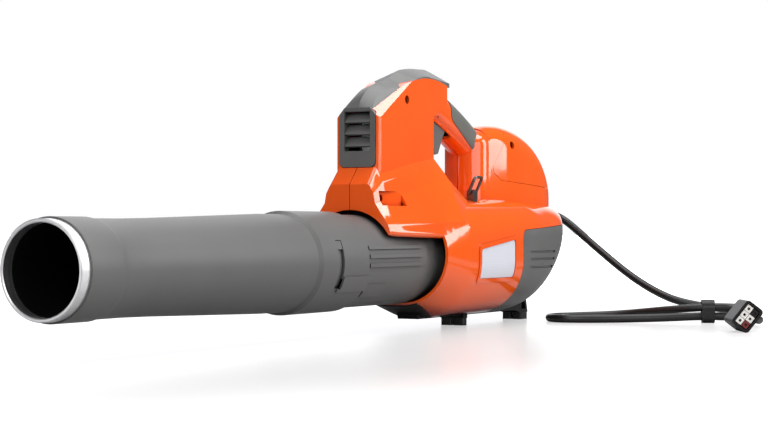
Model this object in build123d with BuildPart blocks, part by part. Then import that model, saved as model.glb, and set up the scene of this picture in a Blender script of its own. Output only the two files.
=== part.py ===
"""Hand-held axial leaf blower with a lead to a back-worn battery.

X runs along the air tube, with the nozzle at -X and the air intake at +X. Y = 0 is the seam of the
two body halves, and -Y is the operator's left. Z is up from the floor that the feet stand on.
Heights are given from the air axis, and lengths on the body from the plane of its mouth.
"""

import os
from math import cos, radians, sin, sqrt, tan

from build123d import *

os.makedirs("parts", exist_ok=True)

# Whole machine
axis_height = 74.0
tube_reach = 568.0
barrel_length = 326.0
seam_gap = 0.6
panel_gap = 0.5
seat_gap = 0.3
overlap = 1.0
cut_margin = 40.0
running_gap = 0.05

# Air tubes
nozzle_bore = 36.5
ring_wall = 3.1
ring_length = 11.0
tube_wall = 2.5
collar_radius = 41.2
collar_end = 51.0
throat_radius = 39.9
throat_start = 57.0
throat_end = 97.0
taper_start = 137.0
taper_start_radius = 40.6
taper_end = 303.0
taper_end_radius = 45.2
blow_tube_length = 428.0
band_radius = 48.3
band_length = 86.0
band_step = 4.0
band_rise = 0.2
outlet_radius = 45.5
outlet_entry = 40.0
sleeve_overlap = 72.0
sleeve_stop = 2.0
sleeve_taper = 6.0
rib_start = 432.0
rib_length = 108.0
rib_height = 1.8
rib_half_angle = 2.2
rib_angles = (17.0, 6.5, -4.0)
ramp_angles = (-46.0, -28.0)
ramp_height = 1.6
ramp_length = 40.0
ramp_gap = 6.0

# Twist lock between the tubes
window_width = 10.0
window_setback = 53.0
window_top_angle = 26.0
window_bottom_angle = -30.0
lug_half_angle = 5.0
lug_play_angle = 0.6
channel_rim_angle = 3.0
lug_height = 2.3
channel_wall = 2.0

# Orange body
wall = 3.0
barrel_half_width = 67.0
barrel_low = -62.0
barrel_high = 64.0
barrel_corners = (60.0, 42.0)
mouth_half_width = 62.0
mouth_low = -47.5
mouth_high = 50.0
mouth_corners = (53.0, 44.0)
lip_length = 48.0
tail_length = 112.0
tail_centre = 34.0
tail_drop_power = 4
tail_side_power = 2.5
tail_corner_shares = ((0.56, 0.9), (0.36, 0.7))
tail_drop = 8.0
tail_half_width = 40.0
tail_shares = (0.0, 0.25, 0.45, 0.62, 0.76, 0.87, 0.95)
saddle_reach = 94.0
saddle_corner = 4.0
saddle_front = ((22.0, 75.5), (26.8, 66.5), (28.5, 57.0), (43.0, 36.0), (47.0, 25.0))
saddle_brow = ((21.0, 93.0), (28.5, 78.0), (31.0, 62.0), (47.0, 36.0), (50.0, 24.0))
saddle_lip = ((24.0, 101.0), (30.0, 91.0), (37.0, 76.0), (57.0, 38.0), (58.0, 22.0))
saddle_waist = ((24.5, 106.0), (33.5, 95.0), (43.0, 82.0), (62.0, 40.0), (65.5, 18.0))
saddle_back = ((28.0, 63.0), (36.0, 60.5), (43.0, 57.0), (55.0, 40.0), (59.0, 18.0))
saddle_waist_at = 40.0
saddle_back_at = 94.0
saddle_end_at = 168.0
notch_start = -86.0
notch_end = -49.0
notch_low = 54.5
notch_high = 69.0
notch_depth = 8.0
notch_wall = 3.0
tube_arch_radius = 50.4
post_reach = 78.0
post_rear = 44.0
post_half_width = 24.8
post_shoulder = 150.0
post_slope_end = (-20.0, 178.5)
post_crest = (32.0, 188.0)
post_corner = 4.0
slope_bevel = ((-66.6, 147.5), (-21.7, 174.5))
slope_bevel_angle = 45.0
roof_bevel = ((10.0, 191.0), (78.0, 186.0))
roof_bevel_angle = 30.0
post_foot = 60.0
head_rear = 76.0
head_rear_top = 182.0
head_rear_foot = 166.0
head_undercut = (62.0, 157.0)
dome_front = 148.0
dome_top = 148.0
dome_half_width = 42.0
dome_setback = 3.0
dome_base = 30.0
dome_foot = 50.0
dome_nose = 26.0
dome_nose_top = 142.0
dome_nose_round = 18.0
dome_round = 32.0
dome_base_round = 10.0
dome_stations = (
    (0.0, 0.62, 0.96, 0.62),
    (0.15, 0.79, 1.0, 0.81),
    (0.38, 0.93, 1.0, 0.94),
    (0.58, 1.0, 0.93, 1.0),
    (0.75, 1.03, 0.78, 1.0),
    (0.88, 0.98, 0.57, 0.94),
    (0.97, 0.85, 0.34, 0.75),
    (1.0, 0.74, 0.22, 0.62),
)
grip_width = 34.0
grip_height = 37.0
grip_corner = 15.0
grip_start = (58.0, 167.0)
grip_middle = (122.0, 145.0)
grip_end = (196.0, 108.0)
pad_rise = 0.8
pad_outline = ((98.0, 190.0), (98.0, 150.0), (179.0, 105.0), (179.0, 160.0))
pad_outline_round = 12.0
cradle_places = (64.0, 160.0)
cradle_thickness = 3.0

# Rear covers
cover_front = 177.0
cover_top = 30.0
cover_top_rise = 9.0
cover_corner = 10.0
intake_slot = 4.2
intake_pitch = 8.6
intake_rows = 7
intake_low = -30.0
intake_half_width = 40.0
intake_depth = 90.0
groove_heights = (6.0, -2.0, -11.0)
groove_front = 196.0
groove_length = 74.0
groove_width = 2.6
groove_depth = 1.2
dome_seam = ((226.0, 170.0), (178.0, 97.0), (194.0, 86.0), (360.0, 76.0))
dome_seam_round = 8.0

# Grey cap and louvres on the post
cap_line = ((-63.0, 168.0), (-33.0, 181.5), (-14.0, 186.0), (2.0, 194.0), (16.0, 197.5), (40.0, 200.0))
cap_brow = (-79.0, 149.0)
cap_rear = (70.0, 201.5)
cap_lip = 2.5
cap_lip_low = 181.8
cap_bevel = 4.0
cap_fall = 9.0
panel_half_width = 20.5
panel_low = 93.0
panel_proud = 1.0
panel_depth = 2.0
panel_corner = 6.0
louvre_half_width = 14.5
louvre_sleeve = 1.2
louvre_sleeve_depth = 9.0
louvre_low = 109.0
louvre_high = 149.0
slat_count = 3
slat_pitch = 12.0
slat_rise = 9.8
slat_depth = 7.0
slat_start = 0.4
slat_set_in = 0.4
slat_thickness = 2.2

# Fan and motor
fan_radius = 49.6
fan_tip_gap = 0.9
duct_wall = 2.5
duct_front = 26.0
duct_cone_end = 66.0
duct_rear = 236.0
gasket_length = 3.0
bell_length = 7.0
bell_round = 2.0
hub_radius = 27.0
hub_wall = 2.2
hub_front = 122.0
hub_rear = 188.0
hub_end_wall = 9.0
vane_count = 7
vane_thickness = 2.0
vane_length = 44.0
vane_middle = 152.0
vane_turn = 14.0
cone_nose = 62.0
cone_line = ((0.0, 4.0), (10.0, 11.0), (36.0, 22.0))
shaft_radius = 4.0
shaft_front = 119.0
bearing_radius = 11.0
bearing_width = 7.0
bearing_inset = 1.5
stator_front = 136.0
stator_length = 36.0
rotor_radius = 13.5
air_gap = 0.6
cap_plate_front = 178.0
cap_plate_length = 9.0
impeller_front = 196.0
impeller_rear = 228.0
impeller_web = 5.0
impeller_boss = 9.0
blade_count = 9
blade_thickness = 2.2
blade_chord = 30.0
blade_root_turn = 42.0
blade_tip_turn = 62.0
nut_radius = 7.5
nut_length = 6.0

# Electronics in the post
board_thickness = 1.6
board_front = -60.0
board_low = 100.0
board_high = 146.0
board_side = 6.0
sink_base = 4.0
sink_length = 34.0
sink_margin = 2.0
fin_count = 6
fin_height = 12.0
fin_thickness = 1.6

# Trigger and buttons
trigger_pivot = (72.0, 152.0)
trigger_profile = ((65.5, 156.5), (80.0, 157.5), (100.0, 139.0), (93.0, 130.0), (82.5, 112.0), (74.0, 110.5))
trigger_knee = (66.0, 146.0)
trigger_round = 2.5
trigger_width = 18.0
trigger_slot = (60.0, 112.0, 90.0, 163.0)
trigger_slot_gap = 0.8
pin_radius = 2.0
pin_half_length = 14.6
spring_radius = 3.0
spring_wire = 0.4
spring_turns = 2
switch_at = (126.0, 143.5)
switch_size = (18.0, 13.0)
switch_half_width = 13.0
switch_turn = -22.0
keypad_half_width = 13.0
keypad_low = 182.5
keypad_high = 191.0
keypad_thickness = 1.2
keypad_corner = 3.0
button_radius = 3.4
button_spacing = 14.0
button_height = 186.8
button_rise = 2.0
button_depth = 7.0
button_travel = 1.0

# Screws in the left half
screw_head_radius = 4.2
screw_head_length = 3.0
screw_shank_radius = 2.0
screw_shank_length = 14.0
screw_recess = 3.0
screw_socket = 2.2
screw_socket_depth = 1.8
screw_boss_radius = 7.5
post_screw = (-19.0, 163.0, post_half_width)
saddle_screw = (-79.0, 61.5, 26.0)
dome_screw = (214.0, 126.0, 34.0)

# Carrying ring
ring_wire = 1.6
ring_width = 21.0
ring_height = 22.0
ring_bend = 4.0
ring_lean = 25.0
ring_offset = 108.0
ring_side = 37.0
ring_pivot_height = 70.0
bracket_length = 10.0
bracket_half_width = 4.2

# Stand and feet
keel_half_width = 12.0
keel_low = -62.6
keel_front = 22.0
keel_nose = 8.0
stand_low = -66.0
stand_top = -40.0
front_foot = (134.0, 144.0)
front_foot_half_width = 14.0
rear_foot = (291.5, 311.5)
rear_foot_half_width = 12.0
rear_leg = (
    (226.0, -62.5),
    (274.0, -62.5),
    (291.5, -66.0),
    (311.5, -66.0),
    (306.0, -46.0),
    (298.0, -20.0),
    (226.0, -20.0),
)
leg_pocket = ((293.0, -62.0), (306.0, -62.0), (298.0, -38.0))
leg_pocket_depth = 5.0
pad_inner = 1.0
pad_corner = 2.5

# Bare plate on the left side
plate_front = 68.0
plate_rear = 154.0
plate_low = -20.5
plate_front_top = 10.0
plate_rear_top = 20.0
plate_corner = 4.0
plate_thickness = 0.8
rim_width = 5.0
rim_height = 1.2

# Lead: points are length from the mouth, Y and height over the floor
cord_radius = 4.5
gland_length = 34.0
gland_height = 53.0
cord_lead = 27.0
cord_tail = 36.0
gland_flange = 11.0
gland_flange_length = 3.0
gland_root_radius = 8.5
gland_neck_radius = 7.0
gland_neck_length = 8.0
gland_tip_wall = 1.0
bend_share = 0.45
cord_route = (
    (402.0, -18.0, 120.0),
    (405.0, -46.0, 96.0),
    (396.0, -80.0, 71.5),
    (382.0, -114.0, 50.0),
    (369.0, -150.0, 32.0),
    (362.0, -184.0, 20.0),
    (378.0, -237.8, 12.0),
    (368.6, -263.4, 13.0),
    (343.8, -274.9, 15.0),
    (318.2, -265.5, 18.0),
    (304.0, -235.0, 18.6),
    (303.2, -185.8, 14.0),
    (315.7, -124.8, 7.0),
    (296.0, -68.0, 4.6),
    (272.0, -57.0, 4.6),
    (247.4, -67.2, 4.6),
    (238.0, -92.9, 4.6),
    (260.4, -134.0, 4.6),
    (279.5, -186.9, 6.0),
    (304.0, -235.0, 8.6),
    (319.2, -267.7, 7.0),
    (297.7, -297.4, 5.5),
    (259.0, -304.4, 8.0),
)
strap_at = (304.0, -235.0)
strap_turn = -65.1
strap_thickness = 3.0
strap_play = 2.2
strap_flat = 0.2
strap_width = 14.0
strap_low = 0.4
strap_high = 26.6
connector_size = (29.0, 21.0, 44.0)
connector_corner = 4.0
connector_face = (146.6, -328.5)
connector_turn = 28.4
connector_roll = 52.0
connector_wall = 2.6
connector_depth = 9.0
insert_height = 4.0
insert_rise = 3.5
block_step = 0.45
block_width = 0.36
block_height = 0.56

# Places that follow from the sizes above
tip_x = -(tube_reach + barrel_length) / 2
mouth_x = tip_x + tube_reach
rear_x = mouth_x + barrel_length
floor = -axis_height
air_axis = Axis((0, 0, axis_height), (1, 0, 0))
side_plane = Plane(origin=(0, 0, axis_height), x_dir=(1, 0, 0), z_dir=(0, -1, 0))
duct_inner = fan_radius + fan_tip_gap
duct_outer = duct_inner + duct_wall
band_x = tip_x + blow_tube_length
window_x = band_x - window_setback
sleeve_x = band_x - sleeve_overlap
lug_angle = window_top_angle - lug_half_angle - lug_play_angle
dome_back_x = rear_x - dome_setback


def on_side(points):
    """Points of a side view, moved from the mouth's plane to the machine's X."""
    return [(mouth_x + x, z) for x, z in points]


def cross_plane(x):
    """A plane across the machine at x: local axes are Y and the height from the air axis."""
    return Plane(origin=(x, 0, axis_height), x_dir=(0, 1, 0), z_dir=(1, 0, 0))


def round_bar(x, radius, length):
    """A solid round bar along the air axis."""
    with BuildPart() as form:
        with BuildSketch(cross_plane(x)):
            Circle(radius)
        extrude(amount=length)
    return form.part


def turned(points):
    """A piece turned about the air axis from (x, radius) points."""
    with BuildPart() as form:
        with BuildSketch(side_plane):
            with BuildLine():
                Polyline(*points, close=True)
            make_face()
        revolve(axis=air_axis)
    return form.part


def side_block(points, half_width, corner=0.0):
    """A block with the given side view, equally wide to both sides of the seam."""
    with BuildPart() as form:
        with BuildSketch(side_plane) as view:
            with BuildLine():
                Polyline(*points, close=True)
            make_face()
            if corner:
                fillet(view.vertices(), corner)
        extrude(amount=half_width, both=True)
    return form.part


def sector(x, inner, outer, low_angle, high_angle):
    """Two opposite ring segments across the tube. The angles rise from the left side."""
    reach = 2 * outer
    with BuildSketch(cross_plane(x)) as face:
        for side in (-1, 1):
            ends = [
                (side * reach * cos(radians(angle)), -side * reach * sin(radians(angle)))
                for angle in (low_angle, high_angle)
            ]
            with BuildLine():
                Polyline((0, 0), *ends, close=True)
            make_face()
        Circle(outer, mode=Mode.INTERSECT)
        Circle(inner, mode=Mode.SUBTRACT)
    return face.sketch


def rounded_section(x, half_width, low, high, corners, inset):
    """A section across the body with its own radius below and above, drawn in by the wall."""
    with BuildSketch(cross_plane(x)) as outline:
        with Locations((0, (low + high) / 2)):
            Rectangle(2 * (half_width - inset), high - low - 2 * inset)
        fillet(outline.vertices().sort_by(Axis.Y)[:2], corners[0] - inset)
        fillet(outline.vertices().sort_by(Axis.Y)[-2:], corners[1] - inset)
    return outline.sketch


def tail_section(share, inset):
    """A section of the round tail: the keel sweeps up, the sides close in and the top stays high."""
    bow = sqrt(1 - share**2)
    low = tail_centre - (tail_centre - barrel_low) * bow
    high = barrel_high - tail_drop * share**tail_drop_power
    closing = sqrt(1 - share**tail_side_power)
    half_width = tail_half_width + (barrel_half_width - tail_half_width) * closing
    corners = [
        min(corner, of_height * (high - low), of_width * half_width)
        for corner, (of_height, of_width) in zip(barrel_corners, tail_corner_shares)
    ]
    x = rear_x - inset - tail_length * (1 - share / tail_shares[-1])
    return rounded_section(x, half_width, low, high, corners, inset)


def barrel_form(inset):
    """The fan barrel: a flared lip at the mouth, straight sides and a long round tail."""
    straight = (barrel_half_width, barrel_low, barrel_high, barrel_corners, inset)
    lip = (mouth_half_width, mouth_low, mouth_high, mouth_corners, inset)
    lip_x = mouth_x + lip_length
    with BuildPart() as form:
        loft([tail_section(share, inset) for share in tail_shares])
        extrude(rounded_section(lip_x, *straight), amount=rear_x - inset - tail_length - lip_x)
        loft([rounded_section(mouth_x, *lip), rounded_section(lip_x, *straight)], ruled=True)
    return form.part


def saddle_section(x, half_points, inset):
    """One cross-section of the saddle that carries the post over the air tube."""
    left_points = [(-y, z) for y, z in reversed(half_points)]
    with BuildSketch(cross_plane(x)) as outline:
        with BuildLine():
            Polyline(*half_points, *left_points, close=True)
        make_face()
        fillet(outline.vertices(), saddle_corner)
        if inset:
            offset(amount=-inset, mode=Mode.REPLACE)
    return outline.sketch


def saddle_form(inset):
    """The saddle: it hugs the tube in front of the mouth and widens back onto the barrel."""
    with BuildPart() as form:
        loft(
            [
                saddle_section(mouth_x - saddle_reach + inset, saddle_front, inset),
                saddle_section(mouth_x - post_reach, saddle_brow, inset),
                saddle_section(mouth_x, saddle_lip, inset),
                saddle_section(mouth_x + saddle_waist_at, saddle_waist, inset),
                saddle_section(mouth_x + saddle_back_at, saddle_back, inset),
                saddle_section(mouth_x + saddle_end_at, saddle_back, inset),
            ],
            ruled=True,
        )
    return form.part


def post_top():
    """The line of the post's upper edge, as points of its side view."""
    points = ((-post_reach, post_shoulder), post_slope_end, post_crest, (head_rear, head_rear_top))
    return on_side(points)


def edge_wedge(line, angle, inset):
    """Two wedges, mirrored, that bevel the post's side edges along a line of the side view."""
    start, end = [Vector(x, 0, axis_height + z) for x, z in on_side(line)]
    along = (end - start).normalized()
    reach = 2 * post_half_width
    drop = post_half_width - inset / sin(radians(angle))
    rise = 2 * reach * tan(radians(angle))
    with BuildPart() as form:
        with BuildSketch(Plane(origin=start - along * reach, x_dir=(0, 1, 0), z_dir=along)):
            for side in (-1, 1):
                foot = side * (drop + reach)
                with BuildLine():
                    Polyline(
                        (foot, -reach * tan(radians(angle))),
                        (foot, rise),
                        (side * (drop - 2 * reach), rise),
                        close=True,
                    )
                make_face()
        extrude(amount=4 * reach)
    return form.part


def post_form(inset):
    """The flat-sided electronics post with its overhanging head."""
    shoulder, slope_end, crest, top_rear = post_top()
    foot = (mouth_x + post_rear, post_foot)
    with BuildPart() as form:
        with BuildSketch(side_plane):
            with BuildLine():
                Polyline(slope_end, shoulder, (shoulder[0], post_foot), foot)
                Polyline(
                    foot,
                    (foot[0], post_shoulder),
                    *on_side((head_undercut,)),
                    (top_rear[0], head_rear_foot),
                    top_rear,
                )
                ThreePointArc(top_rear, crest, slope_end)
            make_face()
            if inset:
                offset(amount=-inset, mode=Mode.REPLACE)
        extrude(amount=post_half_width - inset, both=True)
        fillet(form.edges().filter_by(Axis.Z), post_corner - inset)
        add(edge_wedge(slope_bevel, slope_bevel_angle, inset), mode=Mode.SUBTRACT)
    return form.part


def cap_form():
    """The crown of the cap: high along the middle and lower along both sides."""
    lip_x = mouth_x + head_rear + cap_lip
    brow, *crown, rear_edge = on_side((cap_brow, *cap_line, cap_rear))
    sections = []
    for y in (-post_half_width + seat_gap, 0, post_half_width - seat_gap):
        fall = cap_fall if y else 0
        lowered = [(x, z - fall) for x, z in (*crown, rear_edge)]
        with BuildSketch(side_plane.offset(-y)) as outline:
            with BuildLine():
                Spline(brow, *lowered)
                Polyline(
                    lowered[-1],
                    (lip_x, rear_edge[1] - cap_bevel - fall),
                    (lip_x, cap_lip_low),
                    (lip_x - cap_lip, cap_lip_low),
                    (brow[0] + cap_lip, brow[1] - cap_lip),
                    brow,
                )
            make_face()
        sections.append(outline.sketch)
    with BuildPart() as form:
        loft(sections, ruled=True)
    return form.part


def grip_form(inset):
    """The bridge grip: a rounded bar that falls in a shallow arch from the head into the dome."""
    with BuildPart() as form:
        with BuildLine(side_plane) as path:
            ThreePointArc(*on_side((grip_start, grip_middle, grip_end)))
        with BuildSketch(Plane(origin=path.line @ 0, x_dir=(0, 1, 0), z_dir=path.line % 0)):
            RectangleRounded(grip_width - 2 * inset, grip_height - 2 * inset, grip_corner - inset)
        sweep()
    return form.part


def dome_form(inset):
    """The rear dome: a round nose behind the hand, full flanks and a back that rolls over."""
    nose_x = mouth_x + dome_front + dome_nose
    reach = dome_back_x - inset - nose_x
    with BuildPart() as form:
        with BuildSketch(Plane.XY.offset(axis_height + dome_base + inset)):
            with Locations((nose_x, 0)):
                Circle(dome_nose - inset)
        extrude(amount=dome_nose_top - dome_base - 2 * inset)
        fillet(form.edges().group_by(Axis.Z)[-1], dome_nose_round - inset)
        loft(
            [
                rounded_section(
                    nose_x + share * reach,
                    width * dome_half_width,
                    dome_base,
                    dome_foot + height * (dome_top - dome_foot),
                    (dome_base_round, corner * dome_round),
                    inset,
                )
                for share, width, height, corner in dome_stations
            ]
        )
    return form.part


def body_form(inset):
    """The whole orange body without its covers' seams."""
    with BuildPart() as form:
        add(barrel_form(inset))
        add(saddle_form(inset))
        add(post_form(inset))
        add(grip_form(inset))
        add(dome_form(inset))
    return form.part


def cover_region(grow):
    """The space of the grey intake cover, grown for the gap around it."""
    front = cover_front - grow
    back = barrel_length + cut_margin
    low = 2 * barrel_low
    points = (
        (front, low),
        (back, low),
        (back, cover_top + cover_top_rise + grow),
        (front, cover_top + grow),
    )
    return side_block(on_side(points), 2 * barrel_half_width, cover_corner)


def dome_region(grow):
    """The space of the orange dome cover, grown for the gap around it."""
    top, waist, heel, back = dome_seam
    points = (
        (top[0] - grow, top[1]),
        (waist[0] - grow, waist[1] - grow),
        (heel[0], heel[1] - grow),
        (back[0], back[1] - grow),
        (back[0], top[1]),
    )
    return side_block(on_side(points), 2 * barrel_half_width, dome_seam_round)


def plate_frame(grow):
    """A block on the left side with the plate's outline, grown on all sides."""
    points = (
        (plate_front - grow, plate_low - grow),
        (plate_rear + grow, plate_low - grow),
        (plate_rear + grow, plate_rear_top + grow),
        (plate_front - grow, plate_front_top + grow),
    )
    with BuildPart() as form:
        with BuildSketch(side_plane) as view:
            with BuildLine():
                Polyline(*on_side(points), close=True)
            make_face()
            fillet(view.vertices(), plate_corner)
        extrude(amount=2 * barrel_half_width)
    return form.part


def plate_blank(grow):
    """The bare side plate, let into the left side of the barrel by its own thickness."""
    with BuildPart() as form:
        add(plate_frame(grow))
        add(barrel_outside, mode=Mode.INTERSECT)
        add(barrel_form(plate_thickness), mode=Mode.SUBTRACT)
    return form.part


def side_bar(x, z, radius, low_y, high_y):
    """A round bar across the machine at a point of the side view."""
    with BuildPart() as form:
        with BuildSketch(Plane(origin=(mouth_x + x, low_y, axis_height + z), z_dir=(0, 1, 0))):
            Circle(radius)
        extrude(amount=high_y - low_y)
    return form.part


def shell_form():
    """The hollow body before it is cut into halves and covers."""
    with BuildPart() as hollow:
        add(body_form(wall))
        add(
            round_bar(mouth_x - saddle_reach, tube_arch_radius + wall, saddle_reach),
            mode=Mode.SUBTRACT,
        )
    with BuildPart() as form:
        add(body_form(0))
        add(hollow.part, mode=Mode.SUBTRACT)
        add(round_bar(mouth_x - saddle_reach - overlap, tube_arch_radius, saddle_reach + overlap), mode=Mode.SUBTRACT)
        for place in cradle_places:
            x = mouth_x + place
            with BuildPart(mode=Mode.PRIVATE) as cradle:
                straight = (barrel_half_width, barrel_low, barrel_high, barrel_corners, wall - overlap)
                extrude(rounded_section(x, *straight), amount=cradle_thickness)
                bed = round_bar(x - overlap, duct_outer + seat_gap, cradle_thickness + 2 * overlap)
                add(bed, mode=Mode.SUBTRACT)
            add(cradle.part)
    return form.part


def screw_form(x, z, outer_y):
    """A socket screw driven in from the left side, with its head sunk below the skin."""
    head_y = -outer_y + screw_recess
    with BuildPart() as form:
        add(side_bar(x, z, screw_head_radius, head_y, head_y + screw_head_length))
        add(side_bar(x, z, screw_shank_radius, head_y, head_y + screw_shank_length))
        with BuildSketch(Plane(origin=(mouth_x + x, head_y, axis_height + z), z_dir=(0, 1, 0))):
            RegularPolygon(screw_socket, 6)
        extrude(amount=screw_socket_depth, mode=Mode.SUBTRACT)
    return form.part


def screw_well(x, z, outer_y):
    """The hole for one screw: a wide well down to the head and a narrow one for the shank."""
    head_y = -outer_y + screw_recess
    with BuildPart() as form:
        add(side_bar(x, z, screw_head_radius + seat_gap, -2 * outer_y, head_y + screw_head_length))
        add(side_bar(x, z, screw_shank_radius + running_gap, head_y, head_y + screw_shank_length + seat_gap))
    return form.part


# Nozzle ring
with BuildPart() as nozzle_ring:
    with BuildSketch(cross_plane(tip_x)):
        Circle(nozzle_bore + ring_wall)
        Circle(nozzle_bore, mode=Mode.SUBTRACT)
    extrude(amount=ring_length)
    chamfer(nozzle_ring.edges().group_by(Axis.X)[0], ring_wall / 4)
nozzle_ring.part.label = "nozzle_ring"
export_step(nozzle_ring.part, "parts/nozzle_ring.step")

# Blow tube with the windows of the twist lock in its band
with BuildPart() as blow_tube:
    tube_outside = (
        (ring_length, collar_radius),
        (collar_end, collar_radius),
        (throat_start, throat_radius),
        (throat_end, throat_radius),
        (taper_start, taper_start_radius),
        (taper_end, taper_end_radius),
        (blow_tube_length - band_length - band_step, taper_end_radius + band_rise),
        (blow_tube_length - band_length, band_radius),
        (blow_tube_length, band_radius),
    )
    sleeve_bore = outlet_radius + seat_gap
    tube_inside = (
        (blow_tube_length, sleeve_bore),
        (blow_tube_length - sleeve_overlap - sleeve_stop, sleeve_bore),
        (blow_tube_length - sleeve_overlap - sleeve_taper, taper_end_radius - tube_wall),
        (taper_end, taper_end_radius - tube_wall),
        (taper_start, taper_start_radius - tube_wall),
        (throat_end, throat_radius - tube_wall),
        (throat_start, throat_radius - tube_wall),
        (ring_length, nozzle_bore),
    )
    add(turned([(tip_x + s, radius) for s, radius in tube_outside + tube_inside]))
    channel_middle = window_bottom_angle + lug_half_angle + lug_play_angle
    channel_half = lug_half_angle + 2 * lug_play_angle
    channel_top = outlet_radius + lug_height + seat_gap
    rim = channel_half + channel_rim_angle
    extrude(
        sector(
            window_x,
            sleeve_bore + overlap,
            channel_top + channel_wall,
            channel_middle - rim,
            channel_middle + rim,
        ),
        amount=window_setback,
    )
    extrude(
        sector(
            window_x,
            sleeve_bore - overlap,
            channel_top,
            channel_middle - channel_half,
            channel_middle + channel_half,
        ),
        amount=window_setback,
        mode=Mode.SUBTRACT,
    )
    extrude(
        sector(
            window_x - window_width / 2,
            sleeve_bore - overlap,
            band_radius + 2 * channel_wall,
            window_bottom_angle,
            window_top_angle,
        ),
        amount=window_width,
        mode=Mode.SUBTRACT,
    )
blow_tube.part.label = "blow_tube"
export_step(blow_tube.part, "parts/blow_tube.step")

# Outlet tube with its lugs and ribs
with BuildPart() as outlet_tube:
    with BuildSketch(cross_plane(sleeve_x)):
        Circle(outlet_radius)
        Circle(outlet_radius - tube_wall, mode=Mode.SUBTRACT)
    extrude(amount=mouth_x + outlet_entry - sleeve_x)
    lug_length = window_width - 4 * seat_gap
    lug_base = outlet_radius - overlap
    extrude(
        sector(
            window_x - lug_length / 2,
            lug_base,
            outlet_radius + lug_height,
            lug_angle - lug_half_angle,
            lug_angle + lug_half_angle,
        ),
        amount=lug_length,
    )
    for angle in rib_angles:
        extrude(
            sector(
                tip_x + rib_start,
                lug_base,
                outlet_radius + rib_height,
                angle - rib_half_angle,
                angle + rib_half_angle,
            ),
            amount=rib_length,
        )
    extrude(
        sector(band_x + ramp_gap, lug_base, outlet_radius + ramp_height, *ramp_angles),
        amount=ramp_length,
    )
outlet_tube.part.label = "outlet_tube"
export_step(outlet_tube.part, "parts/outlet_tube.step")

# The hollow body, which the halves and the covers are cut from
barrel_outside = barrel_form(0)
shell = shell_form()
shoulder, slope_end, crest, top_rear = post_top()
panel_x = shoulder[0]

with BuildPart() as panel_pocket:
    with BuildSketch(cross_plane(panel_x + panel_depth + panel_gap)):
        with Locations((0, (panel_low + post_shoulder) / 2)):
            RectangleRounded(
                2 * (panel_half_width + panel_gap),
                post_shoulder - panel_low + 2 * panel_gap,
                panel_corner,
            )
    extrude(amount=-2 * panel_depth - panel_gap)
    with BuildSketch(cross_plane(panel_x)):
        with Locations((0, (louvre_low + louvre_high) / 2)):
            sleeve_room = 2 * (louvre_sleeve + panel_gap)
            Rectangle(2 * louvre_half_width + sleeve_room, louvre_high - louvre_low + sleeve_room)
    extrude(amount=2 * wall + louvre_sleeve_depth)

with BuildPart() as button_holes:
    for side in (-1, 1):
        with BuildSketch(cross_plane(mouth_x + head_rear - button_depth - 4 * button_travel)):
            with Locations((side * button_spacing / 2, button_height)):
                Circle(button_radius + seat_gap)
        extrude(amount=2 * button_depth + 10)

slot_front, slot_rear, slot_low, slot_high = trigger_slot
slot_corners = (
    (slot_front, slot_low),
    (slot_rear, slot_low),
    (slot_rear, slot_high),
    (slot_front, slot_high),
)

notch_floor = -saddle_brow[2][0] + notch_depth
with BuildPart() as notch_cut:
    with BuildSketch(Plane.XY.offset(axis_height + notch_low)):
        with BuildLine():
            Polyline(
                (mouth_x + notch_start, notch_floor),
                (mouth_x + notch_start, -barrel_half_width),
                (mouth_x + notch_end, -barrel_half_width),
                (mouth_x + notch_end, -saddle_brow[2][0] - notch_wall),
                close=True,
            )
        make_face()
    extrude(amount=notch_high - notch_low)

with BuildPart() as notch_backing:
    backing = (
        (notch_start - notch_wall, notch_low - notch_wall),
        (notch_end, notch_low - notch_wall),
        (notch_end, notch_high + notch_wall),
        (notch_start - notch_wall, notch_high + notch_wall),
    )
    with BuildSketch(side_plane.offset(-notch_floor - notch_wall)):
        with BuildLine():
            Polyline(*on_side(backing), close=True)
        make_face()
    extrude(amount=barrel_half_width)
    add(saddle_form(0), mode=Mode.INTERSECT)

with BuildPart() as plate_rim:
    add(plate_frame(rim_width))
    add(barrel_form(-rim_height), mode=Mode.INTERSECT)
    add(barrel_outside, mode=Mode.SUBTRACT)
    add(plate_frame(seat_gap), mode=Mode.SUBTRACT)

with BuildPart() as housing:
    add(shell)
    for x, z, outer_y in (post_screw, saddle_screw):
        add(side_bar(x, z, screw_boss_radius, -outer_y + overlap, outer_y - overlap))
    add(notch_backing.part)
    add(notch_cut.part, mode=Mode.SUBTRACT)
    add(plate_rim.part)
    add(cover_region(panel_gap), mode=Mode.SUBTRACT)
    add(dome_region(panel_gap), mode=Mode.SUBTRACT)
    add(panel_pocket.part, mode=Mode.SUBTRACT)
    add(button_holes.part, mode=Mode.SUBTRACT)
    add(side_block(on_side(slot_corners), trigger_width / 2 + trigger_slot_gap), mode=Mode.SUBTRACT)
    hole_half = pin_half_length + seat_gap
    add(side_bar(*trigger_pivot, pin_radius + running_gap, -hole_half, hole_half), mode=Mode.SUBTRACT)
    spring_space = trigger_width / 2 + 2 * seat_gap + (spring_turns + 1) * (2 * spring_wire + 0.1)
    add(
        side_bar(*trigger_pivot, spring_radius + spring_wire + seat_gap, -spring_space, spring_space),
        mode=Mode.SUBTRACT,
    )
    for screw in (post_screw, saddle_screw):
        add(screw_well(*screw), mode=Mode.SUBTRACT)
    add(plate_blank(seat_gap), mode=Mode.SUBTRACT)
    gland_hole_x = dome_back_x - 3 * wall
    with BuildSketch(cross_plane(gland_hole_x)):
        with Locations((0, gland_height)):
            Circle(gland_neck_radius + seat_gap)
    extrude(amount=6 * wall, mode=Mode.SUBTRACT)
    with BuildSketch(cross_plane(dome_back_x)):
        with Locations((0, gland_height)):
            Circle(gland_flange + seat_gap)
    extrude(amount=2 * wall, mode=Mode.SUBTRACT)

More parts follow.
